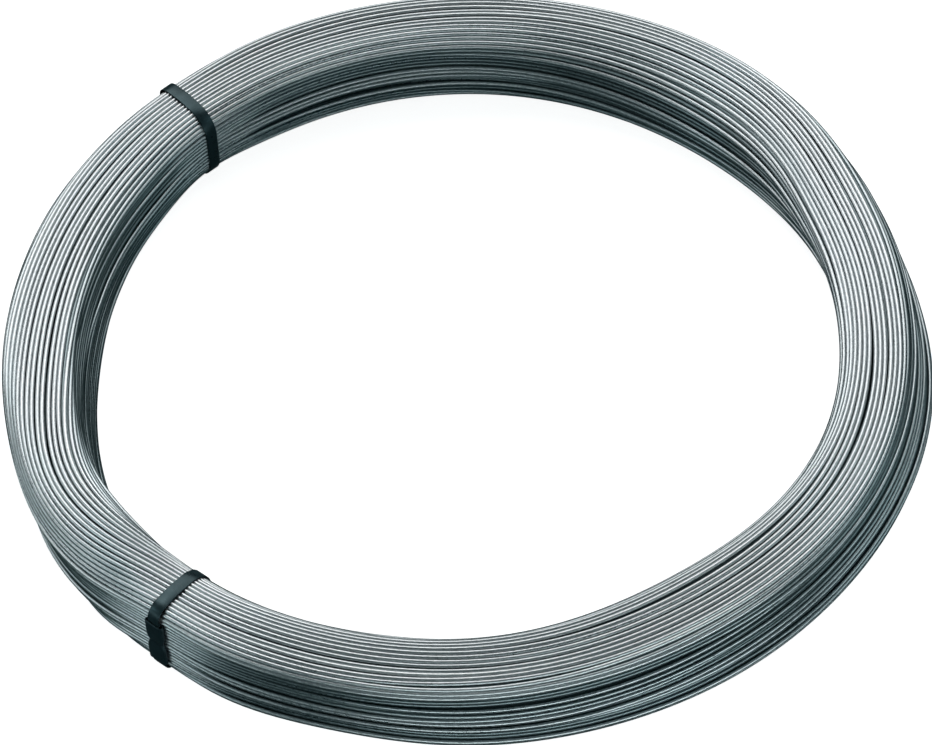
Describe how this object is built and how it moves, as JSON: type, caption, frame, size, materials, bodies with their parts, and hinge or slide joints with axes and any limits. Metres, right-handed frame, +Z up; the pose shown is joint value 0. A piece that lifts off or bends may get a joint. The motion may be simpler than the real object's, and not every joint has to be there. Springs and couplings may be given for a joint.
{
  "type": "coil of galvanised steel wire",
  "caption": "Strapped coil of drawn galvanised wire lying on its side face, wound into a ring with an open bore and tied by black steel straps with crimped seals.",
  "frame": {"origin": "on the floor that the coil lies on, at the middle of the bore", "axes": "+Z up along the coil's axis; +X towards the side of the coil away from its two straps"},
  "size_m": [0.546, 0.546, 0.057],
  "materials": {
    "galvanised_wire": "satin bright zinc, drawn wire",
    "strap": "satin black",
    "seal": "dull black"
  },
  "bodies": {
    "root": {"wire_coil": "galvanised_wire", "strap_front": "strap", "strap_rear": "strap", "seal_front": "seal", "seal_rear": "seal"}
  },
  "joints": []
}
